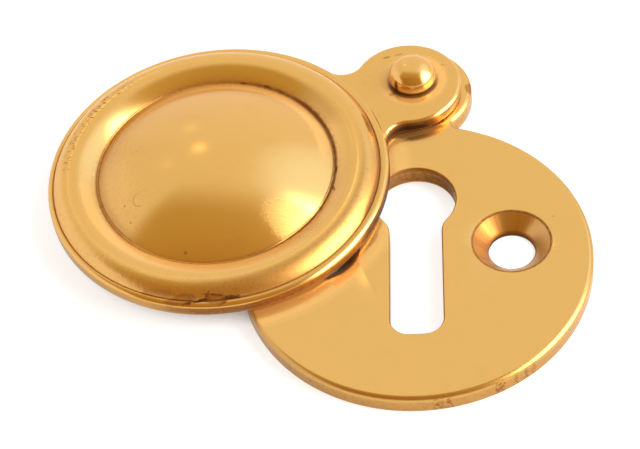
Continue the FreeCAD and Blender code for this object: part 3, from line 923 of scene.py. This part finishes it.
class ESCUTCHEON_OT_cover(bpy.types.Operator):
    """Builds the swing cover with its pressed rings, dome and ear"""
    bl_idname = "escutcheon.cover"
    bl_label = "Swing cover"

    def execute(self, context):
        material = cover_brass(context.scene)
        mesh = bmesh.new()
        absorb(mesh, self.pressing(context.scene.escutcheon_cover, material))
        self.ear(context.scene, mesh)
        place(finish_mesh(mesh, "cover_body"), material, "cover", "cover_brass", "swing_cover")
        return {"FINISHED"}

    def section(self, c):
        """The pressing's section, from the dome's top over the lip and back under the dome."""
        outer, crease, crest, groove = cover_radii()
        base = cover_base()
        lip = base + c.lip
        top = lip + c.ring_height
        drop = c.ring_height + c.crease_depth
        flank = (c.ring_flank ** 2 + drop ** 2) / (2 * drop)
        flank_at = (crest, top - flank)
        slope_at = (crest, top - c.ring_inside)
        foot = groove - c.groove_width
        dome = (foot ** 2 + c.dome_height ** 2) / (2 * c.dome_height)
        dome_at = (0.0, lip + c.groove_rise + c.dome_height - dome)
        rim = (groove, lip + c.groove_rise)
        slope_top, inner_at, inner = self.inner_slope(c, rim, slope_at)
        half, deep = c.groove_width / 2, c.groove_depth
        floor = (deep ** 2 + half ** 2) / (2 * deep)
        floor_at = (groove - half, rim[1] - deep + floor)
        points = arc_profile(dome_at, dome, (0.0, dome_at[1] + dome), (foot, rim[1]), 44)
        points += arc_profile(floor_at, floor, (foot, rim[1]), rim, 8)
        points += arc_profile(inner_at, inner, rim, slope_top, 14)[1:]
        points += arc_profile(slope_at, c.ring_inside, slope_top, (crest, top), 16)[1:]
        points += arc_profile(flank_at, flank, (crest, top), (crease, lip - c.crease_depth), 22)[1:]
        points += [(crease + c.crease_depth, lip)]
        points += [(outer - d, z) for d, z in reversed(rounding(c.lip_round, lip, 9))]
        points += [(outer, base + c.back_break),
                   (outer - c.back_break * 0.3, base + c.back_break * 0.3),
                   (outer - c.back_break, base)]
        inner_flank, inner_slope, inner_dome = flank - c.wall, c.ring_inside - c.wall, dome - c.wall
        ridge = rim[1] - c.groove_depth - c.wall
        edge = math.sqrt(inner_dome ** 2 - (ridge - dome_at[1]) ** 2)
        inner_top = tangent_point((groove, ridge), slope_at, inner_slope)
        under = (crest, top - c.wall)
        points += [(crest + inner_flank, base)]
        points += arc_profile(flank_at, inner_flank, (crest + inner_flank, flank_at[1]), under, 8)
        points += arc_profile(slope_at, inner_slope, under, inner_top, 8)[1:]
        points += [(groove, ridge)]
        points += arc_profile(dome_at, inner_dome, (edge, ridge), (0.0, dome_at[1] + inner_dome), 20)
        return points

    def inner_slope(self, c, rim, slope_at):
        """Upper end, centre and radius of the flatter arc from the crest's arc to the groove."""
        run = math.hypot(1, c.slope_turn)
        ray = (-c.slope_turn / run, 1 / run)
        start = (slope_at[0] + c.ring_inside * ray[0], slope_at[1] + c.ring_inside * ray[1])
        to_rim = (rim[0] - slope_at[0], rim[1] - slope_at[1])
        along = to_rim[0] * ray[0] + to_rim[1] * ray[1]
        apart = math.hypot(*to_rim)
        more = (apart ** 2 - c.ring_inside ** 2) / (2 * (c.ring_inside - along))
        centre = (slope_at[0] - more * ray[0], slope_at[1] - more * ray[1])
        return start, centre, c.ring_inside + more

    def pressing(self, c, material):
        """The cover without its ear: all of it turned about the emboss, then the lip set over."""
        outer, crease = cover_radii()[:2]
        emboss = emboss_centre()
        return turned("pressing", self.section(c), material, Segments=360, First=emboss,
                      **{"Rim from": (crease + outer - c.lip_round) / 2,
                         "Rim shift": swung(shut_centre()) - emboss})

    def ear(self, scene, mesh):
        """The ear, its root buried in the lip."""
        c = scene.escutcheon_cover
        outer = cover_radii()[0]
        shut = shut_centre()
        centre = pivot_point() - Vector((0, c.ear_setback, 0))
        run = ear_run(shut, outer, centre, c.ear_radius, c.neck_round)
        inner = outer - 0.6 * MM
        start = heading(shut, run[-1][0]) - 0.02
        end = heading(shut, run[0][0]) + 0.02
        root = arc_points(shut, inner, start, end)
        still = Vector((0, 0, 0))
        outline = without_repeats(run + [(point, still) for point, _ in root])
        base, top = cover_base() + 0.01 * MM, cover_base() + c.ear
        shell = bmesh.new()
        low, high = wall(shell, outline, back_rounding(c.back_break, base)
                         + rounding(c.ear_round, top))
        bore = circle(pivot_point(), scene.escutcheon_rivet.shank / 2
                      + scene.escutcheon_rivet.clearance)
        bore_low, bore_high = wall(shell, bore, [(0, base), (0, top)], True)
        cap(shell, [high, bore_high], True)
        cap(shell, [low, bore_low], False)
        for vertex in shell.verts:
            vertex.co = swung(vertex.co)
        data = bpy.data.meshes.new("ear")
        shell.to_mesh(data)
        shell.free()
        mesh.from_mesh(data)
        bpy.data.meshes.remove(data)


class ESCUTCHEON_OT_rivet(bpy.types.Operator):
    """Builds the button-headed pivot rivet"""
    bl_idname = "escutcheon.rivet"
    bl_label = "Pivot rivet"

    def execute(self, context):
        scene = context.scene
        r = scene.escutcheon_rivet
        material = rivet_brass(scene)
        seat = cover_base() + scene.escutcheon_cover.ear + r.clearance
        width, rise, power = r.head / 2, r.height - r.belly, 2 / r.fullness
        crown = [(width * math.cos(t) ** power, seat + r.belly + rise * math.sin(t) ** power)
                 for t in (math.pi / 2 * i / 40 for i in range(40))]
        inset = (r.head - r.foot) / 2
        under = (inset ** 2 + r.belly ** 2) / (2 * inset)
        belly = arc_profile((width - under, seat + r.belly), under,
                            (width, seat + r.belly), (r.foot / 2, seat), 8)
        profile = [(0.0, seat + r.height)] + crown[::-1] + belly[1:]
        profile += [(r.shank / 2, seat), (r.shank / 2, r.tail_depth), (r.tail / 2, 0.0), (0.0, 0.0)]
        mesh = bmesh.new()
        absorb(mesh, turned("rivet_blank", profile, material, Segments=160, First=pivot_point()))
        place(finish_mesh(mesh, "rivet_body"), material, "plate", "rivet_brass", "pivot_rivet")
        return {"FINISHED"}


class ESCUTCHEON_OT_stage(bpy.types.Operator):
    """Sets the pale floor, the soft light and the camera"""
    bl_idname = "escutcheon.stage"
    bl_label = "Stage"

    # Small bright reflexes above the dome: direction and strength
    reflexes = (((-0.206, 0.694, 0.690), 1.0), ((-0.253, 0.843, 0.475), 0.25),
                ((-0.402, 0.596, 0.695), 0.25))

    def execute(self, context):
        stage = context.scene.escutcheon_stage
        context.scene.view_settings.view_transform = "Standard"
        self.floor()
        self.room(context.scene, stage)
        self.camera(context.scene, stage)
        return {"FINISHED"}

    def floor(self):
        mesh = bmesh.new()
        bmesh.ops.create_grid(mesh, x_segments=1, y_segments=1, size=0.6)
        data = bpy.data.meshes.new("floor")
        mesh.to_mesh(data)
        mesh.free()
        floor = add_object("floor", data)
        floor.location.z = -0.02 * MM
        material = bpy.data.materials.new("floor_paper")
        material.use_nodes = True
        s = Shader(material.node_tree)
        seen = (s.ray("Is Camera Ray") * 0.75).larger(s.ray("Is Glossy Ray") * 0.5)
        open_sky = s.node("ShaderNodeAmbientOcclusion", {"samples": 8}, {"Distance": 0.012}, "AO")
        paper = s.node("ShaderNodeBsdfDiffuse", None, [(0.42, 0.42, 0.42, 1)])
        glow = s.node("ShaderNodeEmission", None, [(1, 1, 1, 1), seen * open_sky.ramp(0.02, 0.4)])
        both = s.node("ShaderNodeAddShader", None, [paper, glow])
        s.end("ShaderNodeOutputMaterial", both)
        floor.data.materials.append(material)

    def room(self, scene, stage):
        """A white tent, browner over the camera, with a bright window at the right."""
        world = bpy.data.worlds.new("tent")
        world.use_nodes = True
        scene.world = world
        s = Shader(world.node_tree)
        x, y, z = s.split(s.node("ShaderNodeTexCoord", None, (), "Generated"))
        dark = ((y - x * 0.96).ramp(0.78, 0.69) * (y + x * 0.15).ramp(0.43, 0.11)
                * (x + y * 0.4).ramp(0.47, 0.37) * x.ramp(-0.80, -0.70) * z.ramp(0.0, 0.15))
        shade = s.mix(y.ramp(0.1, -0.45), (0.57, 0.42, 0.12), (0.44, 0.24, 0.02))
        window = ((x + y * 0.4).ramp(0.48, 0.55) * (y + x * 0.1).ramp(0.40, 0.31)
                  * y.ramp(-0.62, -0.52) * z.ramp(-0.2, -0.05) * z.ramp(0.90, 0.83))
        glow = (x * 0.55 + y * 0.45 + z * 0.70).ramp(0.88, 0.995)
        light = s.mix(y.ramp(0.7, 1.0), (0.95, 0.95, 0.94), (1.0, 1.0, 1.1))
        light = s.mix(x.ramp(-0.55, -0.78), light, (1.15, 1.15, 1.36))
        light = s.mix(glow, light, (1.15, 1.42, 2.1))
        light = s.mix(dark, light, shade)
        light = s.mix(window, light, (stage.window,) * 3)
        for spot, strength in self.reflexes:
            toward = x * spot[0] + y * spot[1] + z * spot[2]
            light = s.mix(toward.ramp(0.9991, 0.9999) * strength, light, (2.8, 2.5, 2.0))
        shown = s.mix(s.ray("Is Camera Ray"), light, (1.0, 1.0, 1.0))
        s.end("ShaderNodeOutputWorld", s.node("ShaderNodeBackground", None, [shown, stage.room]))

    def camera(self, scene, stage):
        az, el, roll = stage.azimuth, stage.elevation, stage.roll
        back = Vector((math.sin(az) * math.cos(el), -math.cos(az) * math.cos(el), math.sin(el)))
        right = Vector((math.cos(az), math.sin(az), 0))
        up = back.cross(right)
        side = right * math.cos(roll) + up * math.sin(roll)
        head = up * math.cos(roll) - right * math.sin(roll)
        data = bpy.data.cameras.new("camera")
        data.lens = stage.lens
        data.sensor_width = 36.0
        data.clip_start = 0.01
        data.clip_end = 10.0
        camera = add_object("camera", data)
        spot = Vector((stage.aim_x, stage.aim_y, 0)) + back * stage.distance
        camera.matrix_world = (Matrix.Translation(spot)
                               @ Matrix((side, head, back)).transposed().to_4x4())
        scene.camera = camera


class ESCUTCHEON_PT_panel(bpy.types.Panel):
    """Lists the pieces and their sizes"""
    bl_idname = "ESCUTCHEON_PT_panel"
    bl_label = "Keyhole escutcheon"
    bl_space_type = "VIEW_3D"
    bl_region_type = "UI"
    bl_category = "Escutcheon"

    def draw(self, context):
        for operator in OPERATORS:
            self.layout.operator(operator.bl_idname)
        for name, group in SIZE_GROUPS.items():
            box = self.layout.box()
            box.label(text=group.__doc__)
            for key in group.__annotations__:
                box.prop(getattr(context.scene, name), key)


OPERATORS = (ESCUTCHEON_OT_plate, ESCUTCHEON_OT_cover, ESCUTCHEON_OT_rivet, ESCUTCHEON_OT_stage)


def register():
    for name, group in SIZE_GROUPS.items():
        bpy.utils.register_class(group)
        setattr(bpy.types.Scene, name, PointerProperty(type=group))
    for cls in OPERATORS + (ESCUTCHEON_PT_panel,):
        bpy.utils.register_class(cls)


def unregister():
    for cls in (ESCUTCHEON_PT_panel,) + OPERATORS[::-1]:
        bpy.utils.unregister_class(cls)
    for name, group in SIZE_GROUPS.items():
        delattr(bpy.types.Scene, name)
        bpy.utils.unregister_class(group)


def main():
    register()
    bpy.ops.escutcheon.plate()
    bpy.ops.escutcheon.cover()
    bpy.ops.escutcheon.rivet()
    bpy.ops.escutcheon.stage()


if __name__ == "__main__":
    main()
